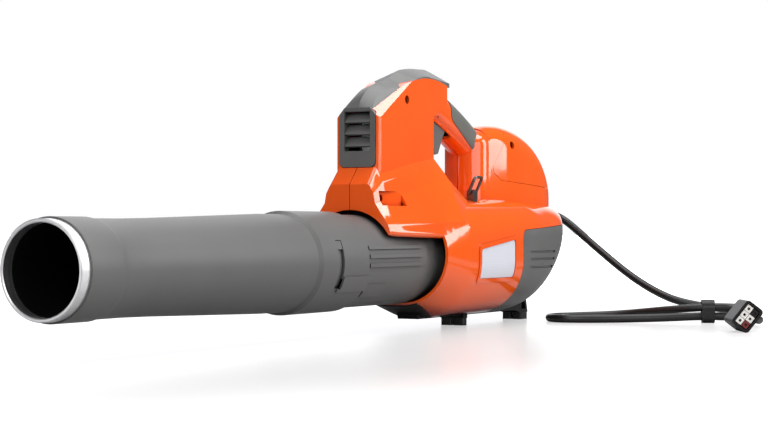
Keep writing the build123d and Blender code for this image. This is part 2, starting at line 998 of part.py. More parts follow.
half_box = 3 * tube_reach
with BuildPart() as left_housing:
    add(housing.part)
    with Locations((0, (half_box - seam_gap) / 2, 0)):
        Box(half_box, half_box, half_box, mode=Mode.SUBTRACT)
left_housing.part.label = "left_housing"
export_step(left_housing.part, "parts/left_housing.step")

with BuildPart() as right_housing:
    add(housing.part)
    with Locations((0, -(half_box - seam_gap) / 2, 0)):
        Box(half_box, half_box, half_box, mode=Mode.SUBTRACT)
right_housing.part.label = "right_housing"
export_step(right_housing.part, "parts/right_housing.step")

# Dome cover behind its seam
with BuildPart() as dome_cover:
    add(shell)
    add(dome_region(0), mode=Mode.INTERSECT)
    add(side_bar(dome_screw[0], dome_screw[1], screw_boss_radius, -dome_screw[2] + overlap, 0))
    add(screw_well(*dome_screw), mode=Mode.SUBTRACT)
dome_cover.part.label = "dome_cover"
export_step(dome_cover.part, "parts/dome_cover.step")

# Intake cover with the air slots in its rear and the grooves on its sides
with BuildPart() as intake_cover:
    add(shell)
    add(cover_region(0), mode=Mode.INTERSECT)
    for row in range(intake_rows):
        with BuildSketch(cross_plane(rear_x - intake_depth)):
            with Locations((0, intake_low + row * intake_pitch)):
                SlotOverall(2 * intake_half_width, intake_slot)
        extrude(amount=2 * intake_depth, mode=Mode.SUBTRACT)
    groove_floor = barrel_form(groove_depth)
    for height in groove_heights:
        with BuildPart(mode=Mode.PRIVATE) as groove:
            with BuildSketch(side_plane):
                with Locations((mouth_x + groove_front + groove_length / 2, height)):
                    SlotOverall(groove_length, groove_width)
            extrude(amount=2 * barrel_half_width, both=True)
            add(groove_floor, mode=Mode.SUBTRACT)
        add(groove.part, mode=Mode.SUBTRACT)
intake_cover.part.label = "intake_cover"
export_step(intake_cover.part, "parts/intake_cover.step")

# Grey cap over the post, with the louvred panel on its front
with BuildPart() as top_cover:
    add(cap_form(), mode=Mode.ADD)
    add(post_form(0), mode=Mode.SUBTRACT)
    panel_layers = (
        (panel_proud, post_shoulder + 2 * panel_proud),
        (panel_proud + panel_depth, post_shoulder),
    )
    for depth, top in panel_layers:
        with BuildSketch(cross_plane(panel_x - panel_proud)):
            with Locations((0, (panel_low + top) / 2)):
                RectangleRounded(2 * panel_half_width, top - panel_low, panel_corner)
            with Locations((0, (louvre_low + louvre_high) / 2)):
                Rectangle(2 * louvre_half_width, louvre_high - louvre_low, mode=Mode.SUBTRACT)
        extrude(amount=depth)
    with BuildSketch(cross_plane(panel_x)):
        with Locations((0, (louvre_low + louvre_high) / 2)):
            Rectangle(2 * (louvre_half_width + louvre_sleeve), louvre_high - louvre_low + 2 * louvre_sleeve)
            Rectangle(2 * louvre_half_width, louvre_high - louvre_low, mode=Mode.SUBTRACT)
    extrude(amount=louvre_sleeve_depth)
    for row in range(slat_count):
        low = louvre_low + slat_pitch * (row + slat_start)
        slat_x = panel_x - panel_proud + slat_set_in
        slat = (
            (slat_x, low),
            (slat_x + slat_depth, low + slat_rise),
            (slat_x + slat_depth, low + slat_rise - slat_thickness),
            (slat_x + slat_thickness, low - slat_thickness / 2),
        )
        add(side_block(slat, louvre_half_width))
    add(edge_wedge(slope_bevel, slope_bevel_angle, 0), mode=Mode.SUBTRACT)
    add(edge_wedge(roof_bevel, roof_bevel_angle, 0), mode=Mode.SUBTRACT)
    add(button_holes.part, mode=Mode.SUBTRACT)
top_cover.part.label = "top_cover"
export_step(top_cover.part, "parts/top_cover.step")
# Soft pad on top of the grip
with BuildPart() as grip_pad:
    add(grip_form(-pad_rise))
    add(grip_form(0), mode=Mode.SUBTRACT)
    with BuildPart(mode=Mode.PRIVATE) as pad_space:
        with BuildSketch(side_plane) as view:
            with BuildLine():
                Polyline(*on_side(pad_outline), close=True)
            make_face()
            fillet(view.vertices(), pad_outline_round)
        extrude(amount=grip_width, both=True)
    add(pad_space.part, mode=Mode.INTERSECT)
    add(dome_form(0), mode=Mode.SUBTRACT)
grip_pad.part.label = "grip_pad"
export_step(grip_pad.part, "parts/grip_pad.step")

# Trigger with its pin, spring and switch
with BuildPart() as trigger:
    add(side_block(on_side((*trigger_profile, trigger_knee)), trigger_width / 2, trigger_round))
    add(
        side_bar(*trigger_pivot, pin_radius + running_gap, -trigger_width, trigger_width),
        mode=Mode.SUBTRACT,
    )
trigger.part.label = "trigger"
export_step(trigger.part, "parts/trigger.step")

with BuildPart() as trigger_pin:
    add(side_bar(*trigger_pivot, pin_radius, -pin_half_length, pin_half_length))
trigger_pin.part.label = "trigger_pin"
export_step(trigger_pin.part, "parts/trigger_pin.step")

with BuildPart() as trigger_spring:
    spring_y = -trigger_width / 2 - seat_gap - spring_wire
    spring_pitch = 2 * spring_wire + 0.1
    pivot_point = (mouth_x + trigger_pivot[0], spring_y, axis_height + trigger_pivot[1])
    with BuildLine() as coil:
        Helix(
            spring_pitch,
            spring_turns * spring_pitch,
            spring_radius,
            center=pivot_point,
            direction=(0, -1, 0),
        )
    with BuildSketch(Plane(origin=coil.line @ 0, z_dir=coil.line % 0)):
        Circle(spring_wire)
    sweep(is_frenet=True)
trigger_spring.part.label = "trigger_spring"
export_step(trigger_spring.part, "parts/trigger_spring.step")

with BuildPart() as trigger_switch:
    with BuildSketch(side_plane) as view:
        with Locations(Location((mouth_x + switch_at[0], switch_at[1]), switch_turn)):
            Rectangle(*switch_size)
    extrude(amount=switch_half_width, both=True)
trigger_switch.part.label = "trigger_switch"
export_step(trigger_switch.part, "parts/trigger_switch.step")

# Keypad on the rear of the cap
keypad_x = top_rear[0] + cap_lip
with BuildPart() as keypad_panel:
    with BuildSketch(cross_plane(keypad_x)):
        with Locations((0, (keypad_low + keypad_high) / 2)):
            RectangleRounded(2 * keypad_half_width, keypad_high - keypad_low, keypad_corner)
    extrude(amount=keypad_thickness)
    add(button_holes.part, mode=Mode.SUBTRACT)
keypad_panel.part.label = "keypad_panel"
export_step(keypad_panel.part, "parts/keypad_panel.step")

with BuildPart() as power_button:
    with BuildSketch(cross_plane(keypad_x + keypad_thickness + button_rise)):
        with Locations((-button_spacing / 2, button_height)):
            Circle(button_radius)
    extrude(amount=-button_depth)
    fillet(power_button.edges().group_by(Axis.X)[-1], button_rise / 2)
power_button.part.label = "power_button"
export_step(power_button.part, "parts/power_button.step")

with BuildPart() as boost_button:
    with BuildSketch(cross_plane(keypad_x + keypad_thickness + button_rise)):
        with Locations((button_spacing / 2, button_height)):
            Circle(button_radius)
    extrude(amount=-button_depth)
    fillet(boost_button.edges().group_by(Axis.X)[-1], button_rise / 2)
boost_button.part.label = "boost_button"
export_step(boost_button.part, "parts/boost_button.step")

# Screws of the left side
with BuildPart() as post_screw_piece:
    add(screw_form(*post_screw))
post_screw_piece.part.label = "post_screw"
export_step(post_screw_piece.part, "parts/post_screw.step")

with BuildPart() as saddle_screw_piece:
    add(screw_form(*saddle_screw))
saddle_screw_piece.part.label = "saddle_screw"
export_step(saddle_screw_piece.part, "parts/saddle_screw.step")

with BuildPart() as dome_screw_piece:
    add(screw_form(*dome_screw))
dome_screw_piece.part.label = "dome_screw"
export_step(dome_screw_piece.part, "parts/dome_screw.step")

# Wire ring and the bracket it swings in
ring_pivot = (mouth_x + ring_offset, -ring_side, axis_height + ring_pivot_height)
with BuildPart() as carry_ring:
    half = ring_width / 2 - ring_wire
    rise = ring_height - 2 * ring_wire
    lean = radians(ring_lean)
    with BuildLine(Plane(origin=ring_pivot, x_dir=(1, 0, 0), z_dir=(0, -cos(lean), -sin(lean)))) as loop:
        FilletPolyline((half, 0), (half, rise), (-half, rise), (-half, 0), radius=ring_bend, close=True)
    with BuildSketch(Plane(origin=loop.line @ 0, z_dir=loop.line % 0)):
        Circle(ring_wire)
    sweep()
carry_ring.part.label = "carry_ring"
export_step(carry_ring.part, "parts/carry_ring.step")

with BuildPart() as ring_bracket:
    bracket_top = ring_pivot_height + bracket_half_width
    with BuildSketch(cross_plane(ring_pivot[0] - bracket_length / 2)):
        with Locations((-ring_side, ring_pivot_height)):
            Circle(bracket_half_width)
        with Locations((-ring_side, ring_pivot_height / 2 + ring_bend * 5)):
            Rectangle(2 * bracket_half_width, ring_pivot_height - ring_bend * 10)
    extrude(amount=bracket_length)
    add(barrel_outside, mode=Mode.SUBTRACT)
    with BuildSketch(cross_plane(ring_pivot[0] - bracket_length)):
        with Locations((-ring_side, ring_pivot_height)):
            Circle(ring_wire + running_gap)
    extrude(amount=2 * bracket_length, mode=Mode.SUBTRACT)
ring_bracket.part.label = "ring_bracket"
export_step(ring_bracket.part, "parts/ring_bracket.step")

# Bare plate
with BuildPart() as label_plate:
    add(plate_blank(0))
label_plate.part.label = "label_plate"
export_step(label_plate.part, "parts/label_plate.step")
# Stand under the barrel: a thin keel that joins a short front leg and a raked rear leg
with BuildPart() as base_stand:
    keel = (
        (keel_front + keel_nose, keel_low),
        (rear_foot[0], keel_low),
        (rear_foot[0], stand_top),
        (keel_front, stand_top),
    )
    add(side_block(on_side(keel), keel_half_width))
    front_leg = (
        (front_foot[0], stand_low),
        (front_foot[1], stand_low),
        (front_foot[1], stand_top),
        (front_foot[0], stand_top),
    )
    add(side_block(on_side(front_leg), front_foot_half_width))
    with BuildPart(mode=Mode.PRIVATE) as pockets:
        add(side_block(on_side(leg_pocket), rear_foot_half_width))
        add(side_block(on_side(leg_pocket), rear_foot_half_width - leg_pocket_depth), mode=Mode.SUBTRACT)
    add(side_block(on_side(rear_leg), rear_foot_half_width))
    add(pockets.part, mode=Mode.SUBTRACT)
    add(barrel_outside, mode=Mode.SUBTRACT)
base_stand.part.label = "base_stand"
export_step(base_stand.part, "parts/base_stand.step")

# Rubber feet
foot_height = stand_low - floor
with BuildPart() as front_left_foot:
    with BuildSketch(Plane.XY):
        with Locations((mouth_x + sum(front_foot) / 2, -(pad_inner + front_foot_half_width) / 2)):
            RectangleRounded(front_foot[1] - front_foot[0], front_foot_half_width - pad_inner, pad_corner)
    extrude(amount=foot_height)
front_left_foot.part.label = "front_left_foot"
export_step(front_left_foot.part, "parts/front_left_foot.step")

with BuildPart() as front_right_foot:
    add(mirror(front_left_foot.part, Plane.XZ, mode=Mode.PRIVATE))
front_right_foot.part.label = "front_right_foot"
export_step(front_right_foot.part, "parts/front_right_foot.step")

with BuildPart() as rear_left_foot:
    with BuildSketch(Plane.XY):
        with Locations((mouth_x + sum(rear_foot) / 2, -(pad_inner + rear_foot_half_width) / 2)):
            RectangleRounded(rear_foot[1] - rear_foot[0], rear_foot_half_width - pad_inner, pad_corner)
    extrude(amount=foot_height)
rear_left_foot.part.label = "rear_left_foot"
export_step(rear_left_foot.part, "parts/rear_left_foot.step")

with BuildPart() as rear_right_foot:
    add(mirror(rear_left_foot.part, Plane.XZ, mode=Mode.PRIVATE))
rear_right_foot.part.label = "rear_right_foot"
export_step(rear_right_foot.part, "parts/rear_right_foot.step")

# Fan duct with its guide vanes and the cup that holds the motor
with BuildPart() as fan_duct:
    collar_inner = outlet_radius + seat_gap
    wall_line = (
        (duct_front, collar_inner),
        (outlet_entry + gasket_length, collar_inner),
        (outlet_entry + gasket_length, outlet_radius - tube_wall),
        (outlet_entry + 2 * gasket_length, outlet_radius - tube_wall),
        (duct_cone_end, duct_inner),
        (duct_rear, duct_inner),
        (duct_rear, duct_outer),
        (duct_cone_end, duct_outer),
        (outlet_entry + gasket_length, collar_inner + duct_wall),
        (duct_front, collar_inner + duct_wall),
    )
    add(turned(on_side(wall_line)))
    with BuildPart(mode=Mode.PRIVATE) as bulkhead:
        add(barrel_form(wall + seat_gap))
        with BuildSketch(cross_plane(mouth_x + duct_front)):
            Rectangle(4 * barrel_half_width, 4 * barrel_half_width)
        extrude(amount=duct_wall, mode=Mode.INTERSECT)
        add(round_bar(mouth_x, collar_inner + duct_wall / 2, 2 * duct_front), mode=Mode.SUBTRACT)
    add(bulkhead.part)
    cup = (
        (hub_front, hub_radius),
        (hub_rear, hub_radius),
        (hub_rear, hub_radius - hub_wall),
        (hub_front + hub_end_wall, hub_radius - hub_wall),
        (hub_front + hub_end_wall, bearing_radius + running_gap),
        (hub_front, bearing_radius + running_gap),
    )
    add(turned(on_side(cup)))
    vane_reach = duct_inner - hub_radius + 2 * overlap
    vane_plane = Plane(origin=(mouth_x + vane_middle, 0, axis_height + hub_radius - overlap), x_dir=(1, 0, 0))
    with BuildPart(mode=Mode.PRIVATE) as vane:
        with BuildSketch(vane_plane):
            Rectangle(vane_length, vane_thickness, rotation=vane_turn)
        extrude(amount=vane_reach)
    for turn in range(vane_count):
        add(vane.part.rotate(air_axis, turn * 360 / vane_count))
fan_duct.part.label = "fan_duct"
export_step(fan_duct.part, "parts/fan_duct.step")

with BuildPart() as duct_gasket:
    with BuildSketch(cross_plane(mouth_x + outlet_entry)):
        Circle(outlet_radius)
        Circle(outlet_radius - tube_wall, mode=Mode.SUBTRACT)
    extrude(amount=gasket_length)
duct_gasket.part.label = "duct_gasket"
export_step(duct_gasket.part, "parts/duct_gasket.step")

with BuildPart() as inlet_bell:
    with BuildSketch(cross_plane(mouth_x + duct_rear)):
        Circle(duct_outer)
        Circle(duct_inner, mode=Mode.SUBTRACT)
    extrude(amount=bell_length)
    fillet(inlet_bell.edges().group_by(Axis.X)[-1].sort_by(SortBy.LENGTH)[0], bell_round)
inlet_bell.part.label = "inlet_bell"
export_step(inlet_bell.part, "parts/inlet_bell.step")

with BuildPart() as tail_cone:
    cone = (
        (cone_nose, 0),
        *((cone_nose + along, radius) for along, radius in cone_line),
        (hub_front, hub_radius),
        (hub_front, hub_radius - hub_wall),
        *((cone_nose + along + hub_wall, radius - hub_wall) for along, radius in reversed(cone_line)),
        (cone_nose + hub_wall, 0),
    )
    add(turned(on_side(cone)))
tail_cone.part.label = "tail_cone"
export_step(tail_cone.part, "parts/tail_cone.step")

# Motor
with BuildPart() as motor_stator:
    with BuildSketch(cross_plane(mouth_x + stator_front)):
        Circle(hub_radius - hub_wall - seat_gap)
        Circle(rotor_radius + air_gap, mode=Mode.SUBTRACT)
    extrude(amount=stator_length)
motor_stator.part.label = "motor_stator"
export_step(motor_stator.part, "parts/motor_stator.step")

with BuildPart() as motor_rotor:
    with BuildSketch(cross_plane(mouth_x + stator_front)):
        Circle(rotor_radius)
        Circle(shaft_radius, mode=Mode.SUBTRACT)
    extrude(amount=stator_length)
motor_rotor.part.label = "motor_rotor"
export_step(motor_rotor.part, "parts/motor_rotor.step")

with BuildPart() as motor_shaft:
    add(round_bar(mouth_x + shaft_front, shaft_radius, impeller_rear + nut_length - shaft_front))
motor_shaft.part.label = "motor_shaft"
export_step(motor_shaft.part, "parts/motor_shaft.step")

with BuildPart() as front_bearing:
    with BuildSketch(cross_plane(mouth_x + hub_front + bearing_inset)):
        Circle(bearing_radius)
        Circle(shaft_radius + running_gap, mode=Mode.SUBTRACT)
    extrude(amount=bearing_width)
front_bearing.part.label = "front_bearing"
export_step(front_bearing.part, "parts/front_bearing.step")

with BuildPart() as motor_cap:
    with BuildSketch(cross_plane(mouth_x + cap_plate_front)):
        Circle(hub_radius - hub_wall - seat_gap)
        Circle(bearing_radius + running_gap, mode=Mode.SUBTRACT)
    extrude(amount=cap_plate_length)
motor_cap.part.label = "motor_cap"
export_step(motor_cap.part, "parts/motor_cap.step")

with BuildPart() as rear_bearing:
    with BuildSketch(cross_plane(mouth_x + cap_plate_front + (cap_plate_length - bearing_width) / 2)):
        Circle(bearing_radius)
        Circle(shaft_radius + running_gap, mode=Mode.SUBTRACT)
    extrude(amount=bearing_width)
rear_bearing.part.label = "rear_bearing"
export_step(rear_bearing.part, "parts/rear_bearing.step")

# Impeller: a cup-shaped hub with twisted blades
with BuildPart() as impeller:
    hub = (
        (impeller_front, hub_radius),
        (impeller_rear - impeller_web, hub_radius),
        (impeller_rear, hub_radius - impeller_web),
        (impeller_rear, shaft_radius),
        (impeller_front + impeller_web, shaft_radius),
        (impeller_front + impeller_web, impeller_boss),
        (impeller_rear - impeller_web, impeller_boss),
        (impeller_rear - impeller_web, hub_radius - hub_wall),
        (impeller_front, hub_radius - hub_wall),
    )
    add(turned(on_side(hub)))
    blade_x = mouth_x + (impeller_front + impeller_rear - impeller_web) / 2
    with BuildPart(mode=Mode.PRIVATE) as blade:
        root_plane = Plane(origin=(blade_x, 0, axis_height + hub_radius - 2 * overlap), x_dir=(1, 0, 0))
        tip_plane = Plane(origin=(blade_x, 0, axis_height + fan_radius + 2 * overlap), x_dir=(1, 0, 0))
        with BuildSketch(root_plane):
            SlotOverall(blade_chord, blade_thickness, rotation=blade_root_turn)
        with BuildSketch(tip_plane):
            SlotOverall(blade_chord, blade_thickness, rotation=blade_tip_turn)
        loft()
        add(round_bar(mouth_x, fan_radius, barrel_length), mode=Mode.INTERSECT)
        add(round_bar(mouth_x, hub_radius - hub_wall / 2, barrel_length), mode=Mode.SUBTRACT)
    for turn in range(blade_count):
        add(blade.part.rotate(air_axis, turn * 360 / blade_count))
impeller.part.label = "impeller"
export_step(impeller.part, "parts/impeller.step")

with BuildPart() as impeller_nut:
    with BuildSketch(cross_plane(mouth_x + impeller_rear)):
        RegularPolygon(nut_radius, 6)
        Circle(shaft_radius, mode=Mode.SUBTRACT)
    extrude(amount=nut_length)
impeller_nut.part.label = "impeller_nut"
export_step(impeller_nut.part, "parts/impeller_nut.step")

# Motor controller in the post
with BuildPart() as control_board:
    board_rear = post_rear - wall - seat_gap
    board_middle = ((board_front + board_rear) / 2, (board_low + board_high) / 2)
    with BuildSketch(side_plane.offset(-board_side)):
        with Locations(on_side((board_middle,))[0]):
            Rectangle(board_rear - board_front, board_high - board_low)
    extrude(amount=-board_thickness)
control_board.part.label = "control_board"
export_step(control_board.part, "parts/control_board.step")

with BuildPart() as heat_sink:
    sink_height = board_high - board_low - 2 * sink_margin
    with BuildSketch(side_plane.offset(-board_side)):
        with Locations((mouth_x + board_front + sink_length / 2 + sink_margin, (board_low + board_high) / 2)):
            Rectangle(sink_length, sink_height)
    extrude(amount=sink_base)
    fin_step = (sink_length - fin_thickness) / (fin_count - 1)
    with BuildSketch(side_plane.offset(sink_base - board_side)):
        with Locations((mouth_x + board_front + sink_length / 2 + sink_margin, (board_low + board_high) / 2)):
            with GridLocations(fin_step, 0, fin_count, 1):
                Rectangle(fin_thickness, sink_height)
    extrude(amount=fin_height)
heat_sink.part.label = "heat_sink"
export_step(heat_sink.part, "parts/heat_sink.step")

# Lead: strain relief, cord, strap and connector
gland_tip_x = dome_back_x + gland_length
with BuildPart() as cord_gland:
    gland_plane = Plane(origin=(0, 0, axis_height + gland_height), x_dir=(1, 0, 0), z_dir=(0, -1, 0))
    gland_line = (
        (dome_back_x - gland_neck_length, 0),
        (dome_back_x - gland_neck_length, gland_neck_radius),
        (dome_back_x, gland_neck_radius),
        (dome_back_x, gland_flange),
        (dome_back_x + gland_flange_length, gland_flange),
        (dome_back_x + gland_flange_length, gland_root_radius),
        (gland_tip_x, cord_radius + gland_tip_wall),
        (gland_tip_x, 0),
    )
    with BuildSketch(gland_plane):
        with BuildLine():
            Polyline(*gland_line, close=True)
        make_face()
    revolve(axis=Axis((0, 0, axis_height + gland_height), (1, 0, 0)))
cord_gland.part.label = "cord_gland"
export_step(cord_gland.part, "parts/cord_gland.step")

connector_way = Vector(-cos(radians(connector_turn)), -sin(radians(connector_turn)), 0)
half_tall = connector_size[0] / 2 - connector_corner
half_wide = connector_size[1] / 2 - connector_corner
roll = radians(connector_roll)
connector_z = half_tall * sin(roll) + half_wide * cos(roll) + connector_corner
face_point = Vector(mouth_x + connector_face[0], connector_face[1], connector_z)
back_point = face_point - connector_way * connector_size[2]
face_across = Vector(-connector_way.Y, connector_way.X, 0)
face_long = face_across * cos(roll) + Vector(0, 0, 1) * sin(roll)

with BuildPart() as power_cord:
    gland_tip = Vector(gland_tip_x, 0, axis_height + gland_height)
    route = [gland_tip, gland_tip + Vector(cord_lead, 0, 0)]
    route += [Vector(mouth_x + x, y, z) for x, y, z in cord_route]
    route += [back_point - connector_way * cord_tail, back_point]
    bends = []
    for before, point, after in zip(route, route[1:], route[2:]):
        way_in = point - before
        way_out = after - point
        half_turn = radians(way_in.get_angle(way_out) / 2)
        bends.append(bend_share * min(way_in.length, way_out.length) / tan(half_turn))
    print("lead bend radii, mm:", *[round(bend, 1) for bend in bends])
    with BuildLine() as cord_path:
        FilletPolyline(*route, radius=bends)
    with BuildSketch(Plane(origin=cord_path.line @ 0, z_dir=cord_path.line % 0)):
        Circle(cord_radius)
    sweep()
power_cord.part.label = "power_cord"
export_step(power_cord.part, "parts/power_cord.step")

with BuildPart() as cord_strap:
    strap_way = (cos(radians(strap_turn)), sin(radians(strap_turn)), 0)
    strap_middle = Vector(mouth_x + strap_at[0], strap_at[1], (strap_low + strap_high) / 2)
    strap_start = strap_middle - Vector(*strap_way) * (strap_width / 2)
    strap_outer = cord_radius + strap_play + strap_thickness
    with BuildSketch(Plane(origin=strap_start, x_dir=(0, 0, 1), z_dir=strap_way)):
        RectangleRounded(strap_high - strap_low, 2 * strap_outer, strap_outer - strap_flat)
        inner = strap_outer - strap_thickness
        RectangleRounded(
            strap_high - strap_low - 2 * strap_thickness,
            2 * inner,
            inner - strap_flat,
            mode=Mode.SUBTRACT,
        )
    extrude(amount=strap_width)
cord_strap.part.label = "cord_strap"
export_step(cord_strap.part, "parts/cord_strap.step")

face_plane = Plane(origin=face_point, x_dir=face_long, z_dir=connector_way)
with BuildPart() as connector_shell:
    with BuildSketch(face_plane):
        RectangleRounded(connector_size[0], connector_size[1], connector_corner)
    extrude(amount=-connector_size[2])
    pocket = (connector_size[0] - 2 * connector_wall, connector_size[1] - 2 * connector_wall)
    with BuildSketch(face_plane):
        RectangleRounded(*pocket, connector_corner - connector_wall / 2)
    extrude(amount=-connector_depth, mode=Mode.SUBTRACT)
connector_shell.part.label = "connector_shell"
export_step(connector_shell.part, "parts/connector_shell.step")

with BuildPart() as connector_insert:
    with BuildSketch(face_plane.offset(-connector_depth)):
        RectangleRounded(
            pocket[0] - 2 * seat_gap,
            pocket[1] - 2 * seat_gap,
            connector_corner - connector_wall / 2,
        )
    extrude(amount=insert_height)
    with BuildSketch(face_plane.offset(insert_height - connector_depth)):
        with GridLocations(pocket[0] * block_step, 0, 2, 1):
            Rectangle(pocket[0] * block_width, pocket[1] * block_height)
    extrude(amount=insert_rise)
connector_insert.part.label = "connector_insert"
export_step(connector_insert.part, "parts/connector_insert.step")
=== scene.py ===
import math

import bpy
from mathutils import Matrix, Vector


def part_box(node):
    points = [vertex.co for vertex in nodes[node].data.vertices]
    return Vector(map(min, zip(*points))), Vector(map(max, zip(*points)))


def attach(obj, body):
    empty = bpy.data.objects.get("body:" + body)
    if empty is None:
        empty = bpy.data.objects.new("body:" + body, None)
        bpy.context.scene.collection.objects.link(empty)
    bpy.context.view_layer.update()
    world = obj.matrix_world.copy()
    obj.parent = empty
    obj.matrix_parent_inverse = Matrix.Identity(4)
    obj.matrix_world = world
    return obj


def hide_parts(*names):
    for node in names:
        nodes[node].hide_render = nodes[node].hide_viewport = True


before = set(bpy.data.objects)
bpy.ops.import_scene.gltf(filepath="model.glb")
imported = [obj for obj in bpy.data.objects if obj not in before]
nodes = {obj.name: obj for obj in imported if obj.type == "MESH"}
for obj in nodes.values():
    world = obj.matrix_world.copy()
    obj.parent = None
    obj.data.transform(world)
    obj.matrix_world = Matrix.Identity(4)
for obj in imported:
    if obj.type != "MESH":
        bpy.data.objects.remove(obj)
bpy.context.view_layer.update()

# Blow tube
# The long front tube is one injection moulding in grey polypropylene with a fine spark-eroded grain.
# Its rear band slides over the outlet tube, which is moulded in the same plastic, and locks by a twist.
axis_z = 0.074


def linear(hex_colour):
    """An sRGB hex value as linear RGBA."""
    channels = [int(hex_colour[i:i + 2], 16) / 255 for i in (1, 3, 5)]
    return [c / 12.92 if c <= 0.04045 else ((c + 0.055) / 1.055) ** 2.4 for c in channels] + [1.0]


def add_node(tree, kind, values=None, **settings):
    """Adds a node with its settings. A value is a number, a colour or the socket to link from."""
    node = tree.nodes.new(kind)
    for name, value in settings.items():
        setattr(node, name, value)
    for name, value in (values or {}).items():
        if isinstance(value, bpy.types.NodeSocket):
            tree.links.new(value, node.inputs[name])
        else:
            node.inputs[name].default_value = value
    return node


def new_material(name):
    """An empty material with only its shader and output."""
    material = bpy.data.materials.new(name)
    material.use_nodes = True
    return material, material.node_tree, material.node_tree.nodes["Principled BSDF"]


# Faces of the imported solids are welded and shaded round, with edges over 15 degrees kept sharp.
soft_shading = bpy.data.node_groups.new("soft_shading", "GeometryNodeTree")
soft_shading.interface.new_socket("Geometry", in_out="INPUT", socket_type="NodeSocketGeometry")
soft_shading.interface.new_socket("Geometry", in_out="OUTPUT", socket_type="NodeSocketGeometry")
solid_in = add_node(soft_shading, "NodeGroupInput")
welded = add_node(
    soft_shading,
    "GeometryNodeMergeByDistance",
    {"Geometry": solid_in.outputs["Geometry"], "Distance": 1e-5},
)
round_faces = add_node(soft_shading, "GeometryNodeSetShadeSmooth", {"Geometry": welded.outputs["Geometry"]})
edge_angle = add_node(soft_shading, "GeometryNodeInputMeshEdgeAngle")
over_limit = add_node(
    soft_shading,
    "FunctionNodeCompare",
    {"A": edge_angle.outputs["Unsigned Angle"], "B": math.radians(15)},
    data_type="FLOAT",
    operation="GREATER_THAN",
)
sharp_edges = add_node(
    soft_shading,
    "GeometryNodeSetShadeSmooth",
    {
        "Geometry": round_faces.outputs["Geometry"],
        "Selection": over_limit.outputs["Result"],
        "Shade Smooth": False,
    },
    domain="EDGE",
)
add_node(soft_shading, "NodeGroupOutput", {"Geometry": sharp_edges.outputs["Geometry"]})


def finish_node(name, material):
    """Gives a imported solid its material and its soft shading."""
    solid = nodes[name]
    for slot in solid.material_slots:
        slot.material = material
    solid.modifiers.new("soft_shading", "NODES").node_group = soft_shading


def crevice_painted_shade(tree, colour, reach, dark):
    """The colour with painted shade: darker where the form closes in on itself, by ambient occlusion."""
    # Painted shade: ambient occlusion mixes the colour towards the dark one in creases and gaps.
    open_share = add_node(tree, "ShaderNodeAmbientOcclusion", {"Distance": reach}, samples=8)
    unshaded_share = add_node(
        tree,
        "ShaderNodeMapRange",
        {"Value": open_share.outputs["AO"], "From Min": 0.15, "From Max": 0.7},
    )
    mixed = add_node(
        tree,
        "ShaderNodeMixRGB",
        {"Fac": unshaded_share.outputs["Result"], "Color1": dark, "Color2": colour},
    )
    return mixed.outputs["Color"]


# Moulded polypropylene has a satin grey face with a fine grain, and slow clouds where it cooled.
# The real grain is about 0.3 mm, and it is drawn at 1.4 mm, because a finer one doesn't show.
tube_plastic, tree, shader = new_material("grained_polypropylene_grey")
place = add_node(tree, "ShaderNodeTexCoord").outputs["Object"]
grain = add_node(tree, "ShaderNodeTexNoise", {"Vector": place, "Scale": 1 / 0.0014, "Detail": 3.0})
clouds = add_node(tree, "ShaderNodeTexNoise", {"Vector": place, "Scale": 1 / 0.16, "Detail": 2.0})
tone = add_node(tree, "ShaderNodeValToRGB", {"Fac": clouds.outputs["Fac"]})
tone.color_ramp.elements[0].position = 0.3
tone.color_ramp.elements[0].color = linear("#5B5B5A")
tone.color_ramp.elements[1].position = 0.7
tone.color_ramp.elements[1].color = linear("#646463")
# Creases and gaps of the tube take painted shade, darkened towards #1E1E1E.
colour = crevice_painted_shade(tree, tone.outputs["Color"], 0.014, linear("#1E1E1E"))
# The bore is painted black as shade, since hardly any light reaches deep inside the tube.
surface = add_node(tree, "ShaderNodeNewGeometry")
from_axis = add_node(
    tree,
    "ShaderNodeVectorMath",
    {0: surface.outputs["Position"], 1: (0.0, 0.0, axis_z)},
    operation="SUBTRACT",
)
across = add_node(
    tree,
    "ShaderNodeVectorMath",
    {0: from_axis.outputs["Vector"], 1: (0.0, 1.0, 1.0)},
    operation="MULTIPLY",
)
outward = add_node(
    tree,
    "ShaderNodeVectorMath",
    {0: across.outputs["Vector"], 1: surface.outputs["Normal"]},
    operation="DOT_PRODUCT",
)
inward_limit = -0.02
outside = add_node(
    tree,
    "ShaderNodeMath",
    {0: outward.outputs["Value"], 1: inward_limit},
    operation="GREATER_THAN",
)
# Faces that look into the bore are painted near black as shade.
bore_painted_shade = add_node(
    tree,
    "ShaderNodeMixRGB",
    {"Fac": outside.outputs["Value"], "Color1": linear("#040404"), "Color2": colour},
)
tree.links.new(bore_painted_shade.outputs["Color"], shader.inputs["Base Color"])
grain_bump = add_node(
    tree,
    "ShaderNodeBump",
    {"Height": grain.outputs["Fac"], "Strength": 0.12, "Distance": 0.0003},
)
tree.links.new(grain_bump.outputs["Normal"], shader.inputs["Normal"])
shader.inputs["Roughness"].default_value = 0.46
shader.inputs["IOR"].default_value = 1.49
finish_node("blow_tube", tube_plastic)
finish_node("outlet_tube", tube_plastic)

# Nozzle ring
# A wear ring, turned from aluminium bar and pressed on the tip, so that the tube can touch the ground.
# The motor's cap and the heat sink inside are of the same metal.

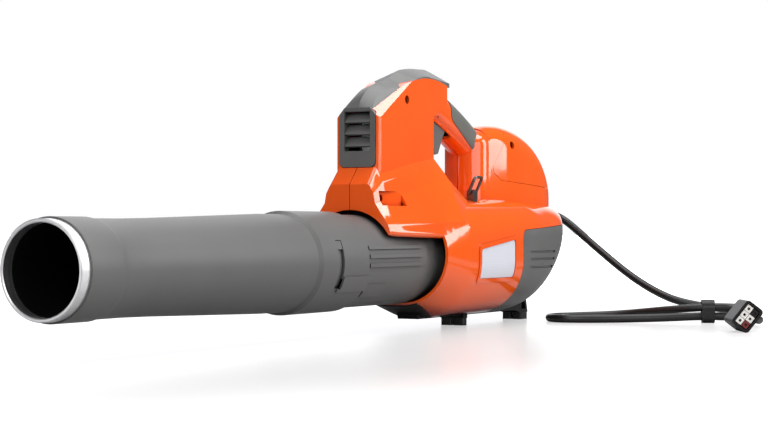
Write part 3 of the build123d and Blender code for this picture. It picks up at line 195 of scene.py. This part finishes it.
# Turned aluminium is bright and satin, with fine lines that run round it, here about 0.3 mm apart.
ring_metal, tree, shader = new_material("turned_aluminium")
place = add_node(tree, "ShaderNodeTexCoord").outputs["Object"]
along = add_node(tree, "ShaderNodeMapping", {"Vector": place, "Scale": (1 / 0.0003, 1 / 0.08, 1 / 0.08)})
turning = add_node(
    tree,
    "ShaderNodeTexNoise",
    {"Vector": along.outputs["Vector"], "Scale": 1.0, "Detail": 2.0},
)
worn = add_node(
    tree,
    "ShaderNodeMapRange",
    {"Value": turning.outputs["Fac"], "From Min": 0.3, "From Max": 0.7, "To Min": 0.3, "To Max": 0.46},
)
turned_bump = add_node(
    tree,
    "ShaderNodeBump",
    {"Height": turning.outputs["Fac"], "Strength": 0.08, "Distance": 0.0001},
)
shader.inputs["Base Color"].default_value = linear("#F3F3F4")
shader.inputs["Metallic"].default_value = 1.0
tree.links.new(worn.outputs["Result"], shader.inputs["Roughness"])
tree.links.new(turned_bump.outputs["Normal"], shader.inputs["Normal"])
for name in ("nozzle_ring", "motor_cap", "heat_sink"):
    finish_node(name, ring_metal)

# Body halves and dome cover
# Two clamshell halves hold the duct, the grip and the post, and a separate cover closes the dome.
# They are injection moulded in glossy orange ABS and screwed together from the left.

# Polished ABS is a deep even orange under a clear gloss that shows the soft boxes as crisp pale patches.
# Its face waves a little, about 6 mm from crest to crest, and its hollows are darkened to a dark red as
# painted shade.
body_plastic, tree, shader = new_material("gloss_abs_orange")
place = add_node(tree, "ShaderNodeTexCoord").outputs["Object"]
flow = add_node(tree, "ShaderNodeTexNoise", {"Vector": place, "Scale": 1 / 0.09, "Detail": 2.0})
tone = add_node(tree, "ShaderNodeValToRGB", {"Fac": flow.outputs["Fac"]})
tone.color_ramp.elements[0].position = 0.3
tone.color_ramp.elements[0].color = linear("#F4580E")
tone.color_ramp.elements[1].position = 0.7
tone.color_ramp.elements[1].color = linear("#F86014")
colour = crevice_painted_shade(tree, tone.outputs["Color"], 0.034, linear("#7E1400"))
tree.links.new(colour, shader.inputs["Base Color"])
peel = add_node(tree, "ShaderNodeTexNoise", {"Vector": place, "Scale": 1 / 0.006, "Detail": 1.0})
peel_bump = add_node(
    tree,
    "ShaderNodeBump",
    {"Height": peel.outputs["Fac"], "Strength": 0.05, "Distance": 0.0004},
)
tree.links.new(peel_bump.outputs["Normal"], shader.inputs["Normal"])
shader.inputs["Roughness"].default_value = 0.07
shader.inputs["IOR"].default_value = 1.53
shader.inputs["Coat Weight"].default_value = 0.28
shader.inputs["Coat Roughness"].default_value = 0.04
shader.inputs["Coat IOR"].default_value = 1.6
for name in ("left_housing", "right_housing", "dome_cover"):
    finish_node(name, body_plastic)

# Intake cover, post cap and trigger
# Three mouldings in grey glass-filled nylon: the slotted cover over the fan, the cap with its louvre
# over the post, and the trigger. The covers are screwed on and the trigger swings on a steel pin.

# Filled nylon is satin, with a fine grain and faint clouds of fibre; its slots and crevices are darkened to
# black as painted shade.
# The grain of about 0.3 mm is drawn at 1.1 mm, so that it shows.
cover_plastic, tree, shader = new_material("grained_nylon_grey")
place = add_node(tree, "ShaderNodeTexCoord").outputs["Object"]
grain = add_node(tree, "ShaderNodeTexNoise", {"Vector": place, "Scale": 1 / 0.0011, "Detail": 3.0})
fibres = add_node(tree, "ShaderNodeTexNoise", {"Vector": place, "Scale": 1 / 0.05, "Detail": 4.0})
tone = add_node(tree, "ShaderNodeValToRGB", {"Fac": fibres.outputs["Fac"]})
tone.color_ramp.elements[0].position = 0.3
tone.color_ramp.elements[0].color = linear("#5A5A59")
tone.color_ramp.elements[1].position = 0.7
tone.color_ramp.elements[1].color = linear("#626261")
colour = crevice_painted_shade(tree, tone.outputs["Color"], 0.012, linear("#0A0A0A"))
tree.links.new(colour, shader.inputs["Base Color"])
grain_bump = add_node(
    tree,
    "ShaderNodeBump",
    {"Height": grain.outputs["Fac"], "Strength": 0.14, "Distance": 0.0003},
)
tree.links.new(grain_bump.outputs["Normal"], shader.inputs["Normal"])
shader.inputs["Roughness"].default_value = 0.42
shader.inputs["IOR"].default_value = 1.53
for name in ("intake_cover", "top_cover", "trigger"):
    finish_node(name, cover_plastic)

# Grip pad and buttons
# A pad of soft thermoplastic rubber is moulded over the grip, where the palm lies.
# The two buttons on the rear of the post are caps of the same rubber.

# Soft rubber is dull, with dimples of about 1.6 mm, and is paler where hands have rubbed it.
pad_rubber, tree, shader = new_material("soft_rubber_grey")
place = add_node(tree, "ShaderNodeTexCoord").outputs["Object"]
dimples = add_node(tree, "ShaderNodeTexVoronoi", {"Vector": place, "Scale": 1 / 0.0016})
handled = add_node(tree, "ShaderNodeTexNoise", {"Vector": place, "Scale": 1 / 0.03, "Detail": 3.0})
tone = add_node(tree, "ShaderNodeValToRGB", {"Fac": handled.outputs["Fac"]})
tone.color_ramp.elements[0].color = linear("#555753")
tone.color_ramp.elements[1].color = linear("#666863")
tree.links.new(tone.outputs["Color"], shader.inputs["Base Color"])
pad_bump = add_node(
    tree,
    "ShaderNodeBump",
    {"Height": dimples.outputs["Distance"], "Strength": 0.25, "Distance": 0.0003},
)
tree.links.new(pad_bump.outputs["Normal"], shader.inputs["Normal"])
shader.inputs["Roughness"].default_value = 0.62
for name in ("grip_pad", "power_button", "boost_button"):
    finish_node(name, pad_rubber)

# Stand, feet and inner mouldings
# A black nylon stand is screwed under the barrel, and rubber feet are pressed on its legs.
# The duct, its bell and cone, the fan, the switch and the panel of the buttons are of the same nylon.

# Black nylon is deep black with a weak satin shine. Its 0.3 mm grain is drawn at 1.2 mm, so that it shows.
black_plastic, tree, shader = new_material("moulded_nylon_black")
place = add_node(tree, "ShaderNodeTexCoord").outputs["Object"]
grain = add_node(tree, "ShaderNodeTexNoise", {"Vector": place, "Scale": 1 / 0.0012, "Detail": 3.0})
tone = add_node(tree, "ShaderNodeValToRGB", {"Fac": grain.outputs["Fac"]})
tone.color_ramp.elements[0].color = linear("#0C0C0C")
tone.color_ramp.elements[1].color = linear("#161616")
tree.links.new(tone.outputs["Color"], shader.inputs["Base Color"])
grain_bump = add_node(
    tree,
    "ShaderNodeBump",
    {"Height": grain.outputs["Fac"], "Strength": 0.12, "Distance": 0.0003},
)
tree.links.new(grain_bump.outputs["Normal"], shader.inputs["Normal"])
shader.inputs["Roughness"].default_value = 0.42
shader.inputs["IOR"].default_value = 1.34
for name in ("base_stand", "fan_duct", "inlet_bell", "tail_cone", "impeller", "trigger_switch",
             "keypad_panel"):
    finish_node(name, black_plastic)

# Moulded rubber is black and smooth, with a faint grey bloom in patches of about 20 mm.
black_rubber, tree, shader = new_material("moulded_rubber_black")
place = add_node(tree, "ShaderNodeTexCoord").outputs["Object"]
bloom = add_node(tree, "ShaderNodeTexNoise", {"Vector": place, "Scale": 1 / 0.02, "Detail": 4.0})
tone = add_node(tree, "ShaderNodeValToRGB", {"Fac": bloom.outputs["Fac"]})
tone.color_ramp.elements[0].color = linear("#080808")
tone.color_ramp.elements[1].color = linear("#141414")
tree.links.new(tone.outputs["Color"], shader.inputs["Base Color"])
shader.inputs["Roughness"].default_value = 0.34
shader.inputs["IOR"].default_value = 1.5
for name in ("front_left_foot", "front_right_foot", "rear_left_foot", "rear_right_foot", "duct_gasket"):
    finish_node(name, black_rubber)

# Chin guard
# A thin black skid wraps the lower lip of the mouth, where the body would scrape the ground.
# It is moulded in the stand's nylon and follows the flare of the lip back to the belly.


def add_piece(name, points, faces, material):
    """A small piece that rides on the body."""
    mesh = bpy.data.meshes.new(name)
    mesh.from_pydata([tuple(point) for point in points], [], faces)
    mesh.update()
    mesh.materials.append(material)
    piece = bpy.data.objects.new(name, mesh)
    bpy.context.collection.objects.link(piece)
    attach(piece, "body")
    return piece


# Lengths of the guard are in millimetres from the mouth and from the air axis.
mouth_x = 0.121
lip_radius, lip_centre, lip_flat = 53.0, 5.5, 9.0
belly_radius, belly_centre, belly_flat = 60.0, -2.0, 7.0
belly_start = 48.0
outer_skin, inner_skin = 0.9, -0.4
half_steps = 6
guard_rows = []
for along, half in ((-0.8, 24.0), (0.0, 26.0), (16.0, 25.0), (32.0, 22.0), (48.0, 18.0), (60.0, 13.0)):
    share = min(max(along / belly_start, 0.0), 1.0)
    row = []
    for step in range(-half_steps, half_steps + 1):
        y = half * step / half_steps
        lip_z = lip_centre - math.sqrt(lip_radius**2 - max(abs(y) - lip_flat, 0.0) ** 2)
        belly_z = belly_centre - math.sqrt(belly_radius**2 - max(abs(y) - belly_flat, 0.0) ** 2)
        row.append((along, y, (1 - share) * lip_z + share * belly_z))
    guard_rows.append(row)
points = []
for sink in (outer_skin, inner_skin):
    for row in guard_rows:
        for along, y, z in row:
            points.append((mouth_x + along / 1000, y / 1000, axis_z + (z - sink) / 1000))
wide = len(guard_rows[0])
under = len(guard_rows) * wide
faces = []
for r in range(len(guard_rows) - 1):
    for c in range(wide - 1):
        corners = (r * wide + c, r * wide + c + 1, (r + 1) * wide + c + 1, (r + 1) * wide + c)
        faces.append(corners)
        faces.append(tuple(under + corner for corner in reversed(corners)))
rim = list(range(wide))
rim += [r * wide + wide - 1 for r in range(1, len(guard_rows))]
rim += [(len(guard_rows) - 1) * wide + c for c in range(wide - 2, -1, -1)]
rim += [r * wide for r in range(len(guard_rows) - 2, 0, -1)]
for a, b in zip(rim, rim[1:] + rim[:1]):
    faces.append((b, a, under + a, under + b))
add_piece("chin_guard", points, faces, black_plastic)

# Steel pieces
# The wire ring for a harness hook and its bracket, the three screws, and the trigger's pin and spring.
# Inside are the motor's shaft, rotor, bearings and nut. They are drawn, pressed or turned from steel.

# Drawn steel is a warm dark grey with a soft shine and specks of tone under a millimetre across.
steel, tree, shader = new_material("drawn_steel")
place = add_node(tree, "ShaderNodeTexCoord").outputs["Object"]
drawn = add_node(tree, "ShaderNodeTexNoise", {"Vector": place, "Scale": 1 / 0.0008, "Detail": 3.0})
tone = add_node(tree, "ShaderNodeValToRGB", {"Fac": drawn.outputs["Fac"]})
tone.color_ramp.elements[0].color = linear("#4A4744")
tone.color_ramp.elements[1].color = linear("#7E7A75")
tree.links.new(tone.outputs["Color"], shader.inputs["Base Color"])
shader.inputs["Metallic"].default_value = 1.0
shader.inputs["Roughness"].default_value = 0.34
for name in ("carry_ring", "ring_bracket", "post_screw", "saddle_screw", "dome_screw", "trigger_pin",
             "trigger_spring", "motor_shaft", "front_bearing", "rear_bearing", "impeller_nut", "motor_rotor"):
    finish_node(name, steel)

# Side plate
# A bare plate of thin foil, cut to a slanted shape and glued in a shallow recess of the left half.

# Satin foil is pale and cool, with rolling lines about 0.6 mm apart along its length.
plate_foil, tree, shader = new_material("satin_foil")
place = add_node(tree, "ShaderNodeTexCoord").outputs["Object"]
rolled = add_node(tree, "ShaderNodeMapping", {"Vector": place, "Scale": (1 / 0.03, 1 / 0.03, 1 / 0.0006)})
brushed = add_node(
    tree,
    "ShaderNodeTexNoise",
    {"Vector": rolled.outputs["Vector"], "Scale": 1.0, "Detail": 2.0},
)
tone = add_node(tree, "ShaderNodeValToRGB", {"Fac": brushed.outputs["Fac"]})
tone.color_ramp.elements[0].color = linear("#D8DBE6")
tone.color_ramp.elements[1].color = linear("#E6E8F0")
tree.links.new(tone.outputs["Color"], shader.inputs["Base Color"])
shader.inputs["Metallic"].default_value = 0.2
shader.inputs["Roughness"].default_value = 0.36
finish_node("label_plate", plate_foil)

# Motor core and controller
# The stator is a stack of lacquered steel sheets with its windings, glued in the cup of the duct.
# The controller is a glass-fibre board in the post, screwed to its heat sink.

# Lacquered sheets show as brown bands. They are 0.5 mm thick and drawn at 1 mm, so that they show.
# Bands of this texture lie about 0.3125 of its unit apart.
core, tree, shader = new_material("lacquered_core")
place = add_node(tree, "ShaderNodeTexCoord").outputs["Object"]
sheets = add_node(
    tree,
    "ShaderNodeTexWave",
    {"Vector": place, "Scale": 0.3125 / 0.001, "Distortion": 0.0},
    bands_direction="X",
)
tone = add_node(tree, "ShaderNodeValToRGB", {"Fac": sheets.outputs["Fac"]})
tone.color_ramp.elements[0].color = linear("#3C2415")
tone.color_ramp.elements[1].color = linear("#6B3A1F")
tree.links.new(tone.outputs["Color"], shader.inputs["Base Color"])
shader.inputs["Roughness"].default_value = 0.4
finish_node("motor_stator", core)

# Solder mask is a glossy green, paler over the copper tracks, which run 1.5 mm apart.
# Rows of this texture are a quarter of its unit high.
board, tree, shader = new_material("solder_mask_green")
place = add_node(tree, "ShaderNodeTexCoord").outputs["Object"]
tracks = add_node(
    tree,
    "ShaderNodeTexBrick",
    {
        "Vector": place,
        "Scale": 0.25 / 0.0015,
        "Color1": linear("#1F5A33"),
        "Color2": linear("#1B4F2C"),
        "Mortar": linear("#2C7446"),
    },
)
tree.links.new(tracks.outputs["Color"], shader.inputs["Base Color"])
shader.inputs["Roughness"].default_value = 0.35
finish_node("control_board", board)

# Strain relief, strap and plug
# The rubber strain relief is held in the rear of the body, and a rubber strap ties the folded lead.
# The plug is a shell of black nylon with a block for its sockets pressed into it.
for name in ("cord_gland", "cord_strap"):
    finish_node(name, black_rubber)
for name in ("connector_shell", "connector_insert"):
    finish_node(name, black_plastic)

# Terminals
# Six sockets stand in the face of the plug, two by three: four white, one black and one dark red.
# Each is a square sleeve of moulded plastic with an open middle for its blade.


def moulded(name, colour):
    """Satin PBT, whose tone drifts a little over about 4 mm, as small mouldings do."""
    material, tree, shader = new_material(name)
    place = add_node(tree, "ShaderNodeTexCoord").outputs["Object"]
    clouds = add_node(tree, "ShaderNodeTexNoise", {"Vector": place, "Scale": 1 / 0.004, "Detail": 2.0})
    tone = add_node(tree, "ShaderNodeHueSaturation", {"Color": linear(colour), "Value": 1.0})
    shift = add_node(
        tree,
        "ShaderNodeMapRange",
        {"Value": clouds.outputs["Fac"], "To Min": 0.9, "To Max": 1.1},
    )
    tree.links.new(shift.outputs["Result"], tone.inputs["Value"])
    tree.links.new(tone.outputs["Color"], shader.inputs["Base Color"])
    shader.inputs["Roughness"].default_value = 0.4
    return material


terminal_white = moulded("terminal_pbt_white", "#E9E6E1")
terminal_red = moulded("terminal_pbt_red", "#6E1416")
plug_turn = math.radians(28.4)
roll = math.radians(52)
row_pitch, side_pitch = 0.0073, 0.0036
sleeve_half, opening_half = 0.0034, 0.0013
sleeve_depth, set_in = 0.0014, 0.0022
across_share = 0.98
way = Vector((-math.cos(plug_turn), -math.sin(plug_turn), 0.0))
right = Vector((-way.y, way.x, 0.0))
face_long = right * math.cos(roll) + Vector((0, 0, 1)) * math.sin(roll)
face_across = way.cross(face_long)
shell_low, shell_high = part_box("connector_shell")
face_centre = Vector((0.2676, -0.3285, (shell_low.z + shell_high.z) / 2))
terminals = []
for row in (-1, 0, 1):
    for side in (-1, 1):
        paint = terminal_white
        if side < 0 and row == 1:
            paint = black_plastic
        if side < 0 and row == -1:
            paint = terminal_red
        centre = face_centre - way * set_in
        centre = centre + face_long * (row * row_pitch) + face_across * (side * side_pitch)
        points = []
        for depth in (0.0, sleeve_depth):
            for half in (sleeve_half, opening_half):
                for u, v in ((-1, -1), (1, -1), (1, 1), (-1, 1)):
                    corner = face_long * (u * half) + face_across * (v * half * across_share)
                    points.append(centre + corner + way * depth)
        faces = []
        for i in range(4):
            k = (i + 1) % 4
            faces.append((8 + i, 8 + k, 12 + k, 12 + i))
            faces.append((i, k, 8 + k, 8 + i))
            faces.append((4 + k, 4 + i, 12 + i, 12 + k))
            faces.append((k, i, 4 + i, 4 + k))
        name = "terminal_%d" % len(terminals)
        terminals.append(add_piece(name, points, faces, paint))

# Strain relief ribs
# Seven rings stand round the strain relief, smaller towards its tip, and let it bend without a kink.
# They are moulded in one with it, in the same black rubber.
gland_low, gland_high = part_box("cord_gland")
gland_height = (gland_low.z + gland_high.z) / 2
flange_length = 0.0125
rib_start = gland_low.x + flange_length
rib_root, rib_taper = 0.0088, 0.0029
rib_count = 7
rib_sides = 32
rib_step = (gland_high.x - rib_start) / rib_count
outline = []
for rib in range(rib_count):
    along = rib_start + rib * rib_step
    radius = rib_root - rib_taper * rib / rib_count
    outline += [
        (along, radius - 0.0004),
        (along + 0.2 * rib_step, radius + 0.0007),
        (along + 0.6 * rib_step, radius + 0.0006),
        (along + 0.8 * rib_step, radius - 0.0006),
    ]
points = []
for x, radius in outline:
    for turn in range(rib_sides):
        angle = 2 * math.pi * turn / rib_sides
        points.append((x, radius * math.cos(angle), gland_height + radius * math.sin(angle)))
faces = []
for r in range(len(outline) - 1):
    here, beyond = r * rib_sides, (r + 1) * rib_sides
    for c in range(rib_sides):
        k = (c + 1) % rib_sides
        faces.append((here + c, here + k, beyond + k, beyond + c))
add_piece("gland_ribs", points, faces, black_rubber)

# Power lead
# A two-core lead in black rubber runs from the strain relief to the floor, where it is folded once,
# tied by the strap and ends in the plug. It is a metre long and 9 mm thick.
lead_radius = 0.0045
gland_tip = Vector((gland_high.x, 0.0, gland_height))
route_points = [
    gland_tip,
    gland_tip + Vector((0.027, 0, 0)),
    *(
        Vector((mouth_x + x / 1000, y / 1000, z / 1000))
        for x, y, z in (
            (402.0, -18.0, 120.0), (405.0, -46.0, 96.0), (396.0, -80.0, 71.5), (382.0, -114.0, 50.0),
            (369.0, -150.0, 32.0), (362.0, -184.0, 20.0), (378.0, -237.8, 12.0), (368.6, -263.4, 13.0),
            (343.8, -274.9, 15.0), (318.2, -265.5, 18.0), (304.0, -235.0, 18.6), (303.2, -185.8, 14.0),
            (315.7, -124.8, 7.0), (296.0, -68.0, 4.6), (272.0, -57.0, 4.6), (247.4, -67.2, 4.6),
            (238.0, -92.9, 4.6), (260.4, -134.0, 4.6), (279.5, -186.9, 6.0), (304.0, -235.0, 8.6),
            (319.2, -267.7, 7.0), (297.7, -297.4, 5.5), (259.0, -304.4, 8.0),
            (217.0, -290.4, 16.28), (185.3, -307.57, 16.28),
        )
    ),
]
lead_line = bpy.data.curves.new("power_lead", "CURVE")
lead_line.dimensions = "3D"
lead_line.bevel_depth = lead_radius
lead_line.bevel_resolution = 6
lead_line.resolution_u = 12
spline = lead_line.splines.new("NURBS")
spline.points.add(len(route_points) - 1)
for point, position in zip(spline.points, route_points):
    point.co = (*position, 1.0)
spline.order_u = 3
spline.use_endpoint_u = True
power_lead = bpy.data.objects.new("power_lead", lead_line)
bpy.context.collection.objects.link(power_lead)
lead_line.materials.append(black_rubber)
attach(power_lead, "body")
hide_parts("power_cord")

# Floor
# A wide pale sheet that the blower stands on, with a weak gloss. Far from the blower it is white to the
# camera, as the backdrop is, and near it the sheet shows its shadow.
floor_mesh = bpy.data.meshes.new("floor")
floor_mesh.from_pydata([(-30, -30, 0), (30, -30, 0), (30, 30, 0), (-30, 30, 0)], [], [(0, 1, 2, 3)])
floor = bpy.data.objects.new("floor", floor_mesh)
bpy.context.collection.objects.link(floor)
floor_paint, tree, shader = new_material("white_sweep")
shader.inputs["Base Color"].default_value = linear("#A6A6A6")
shader.inputs["Roughness"].default_value = 0.24
shader.inputs["IOR"].default_value = 1.25
glow = add_node(tree, "ShaderNodeEmission", {"Color": linear("#FFFFFF"), "Strength": 2.4})
rays = add_node(tree, "ShaderNodeLightPath")
place = add_node(tree, "ShaderNodeTexCoord").outputs["Object"]
long_way = add_node(tree, "ShaderNodeVectorMath", {0: place, 1: (0.45, 1.0, 1.0)}, operation="MULTIPLY")
reach = add_node(tree, "ShaderNodeVectorMath", {0: long_way.outputs["Vector"]}, operation="LENGTH")
far = add_node(
    tree,
    "ShaderNodeMapRange",
    {"Value": reach.outputs["Value"], "From Min": 0.25, "From Max": 0.9, "To Min": 0.2, "To Max": 1.0},
    interpolation_type="SMOOTHSTEP",
)
share = add_node(
    tree,
    "ShaderNodeMath",
    {0: rays.outputs["Is Camera Ray"], 1: far.outputs["Result"]},
    operation="MULTIPLY",
)
blend = add_node(
    tree,
    "ShaderNodeMixShader",
    {"Fac": share.outputs["Value"], 1: shader.outputs["BSDF"], 2: glow.outputs["Emission"]},
)
tree.links.new(blend.outputs["Shader"], tree.nodes["Material Output"].inputs["Surface"])
floor_mesh.materials.append(floor_paint)

# Backdrop
# A white sweep behind the blower, which is plain white to the camera. The rest of the room is dim, so that
# the gloss stays deep.
world = bpy.data.worlds.new("studio")
bpy.context.scene.world = world
world.use_nodes = True
tree = world.node_tree
backdrop = tree.nodes["Background"]
rays = add_node(tree, "ShaderNodeLightPath")
seen = add_node(
    tree,
    "ShaderNodeMath",
    {0: rays.outputs["Is Camera Ray"], 1: rays.outputs["Is Transmission Ray"]},
    operation="MAXIMUM",
)
white = add_node(tree, "ShaderNodeBackground", {"Color": linear("#FFFFFF"), "Strength": 1.0})
direction = add_node(tree, "ShaderNodeTexCoord").outputs["Generated"]
facing = add_node(
    tree,
    "ShaderNodeVectorMath",
    {0: direction, 1: Vector((0.8796, 0.4756, 0.3)).normalized()},
    operation="DOT_PRODUCT",
)
sweep = add_node(
    tree,
    "ShaderNodeMapRange",
    {"Value": facing.outputs["Value"], "From Min": 0.88, "From Max": 0.96, "To Min": 0.14, "To Max": 1.5},
    interpolation_type="SMOOTHSTEP",
)
backdrop.inputs["Color"].default_value = linear("#FBFBFF")
tree.links.new(sweep.outputs["Result"], backdrop.inputs["Strength"])
mixed = add_node(
    tree,
    "ShaderNodeMixShader",
    {"Fac": seen.outputs["Value"], 1: backdrop.outputs["Background"], 2: white.outputs["Background"]},
)
tree.links.new(mixed.outputs["Shader"], tree.nodes["World Output"].inputs["Surface"])

# Soft boxes
# Six cloth-fronted lamps. Two of them are cards that show in one place each: in the gloss of the dome and
# in the face of the aluminium ring.


def soft_box(name, position, target, size, watts):
    """A rectangular soft box aimed at a point."""
    lamp = bpy.data.lights.new(name, "AREA")
    lamp.shape = "RECTANGLE"
    lamp.size, lamp.size_y = size
    lamp.energy = watts
    box = bpy.data.objects.new(name, lamp)
    box.location = position
    box.rotation_euler = (Vector(target) - Vector(position)).to_track_quat("-Z", "Y").to_euler()
    bpy.context.collection.objects.link(box)


soft_box("key", (0.573, -0.918, 1.387), (0.12, -0.03, 0.2), (0.95, 0.55), 14)
soft_box("fill", (-0.35, -1.5, 0.5), (0.0, 0.0, 0.1), (1.4, 0.7), 8)
soft_box("overhead", (0.3, 0.1, 1.7), (0.2, 0.1, 0.1), (1.1, 1.8), 20)
soft_box("front", (-1.9, -0.5, 1.0), (0.0, 0.0, 0.14), (1.8, 1.3), 21)
soft_box("dome_card", (0.9, -1.06, 0.55), (0.3, -0.03, 0.2), (0.45, 0.7), 6)
soft_box("ring_card", (-1.14, 0.39, 0.09), (-0.447, 0.0, 0.074), (0.3, 0.3), 0.35)

# Camera
# A long lens stands low in front of the nozzle and looks along the left side.
focal_length_px = 1800
image_width_px = 768
camera_data = bpy.data.cameras.new("camera")
camera_data.lens = 36 * focal_length_px / image_width_px
camera = bpy.data.objects.new("camera", camera_data)
camera.location = (-1.518, -0.874, 0.105)
look = Vector((0.8796, 0.4756, math.tan(math.radians(0.43))))
camera.rotation_euler = look.to_track_quat("-Z", "Y").to_euler()
bpy.context.collection.objects.link(camera)
bpy.context.scene.camera = camera
bpy.context.scene.view_settings.view_transform = "Standard"
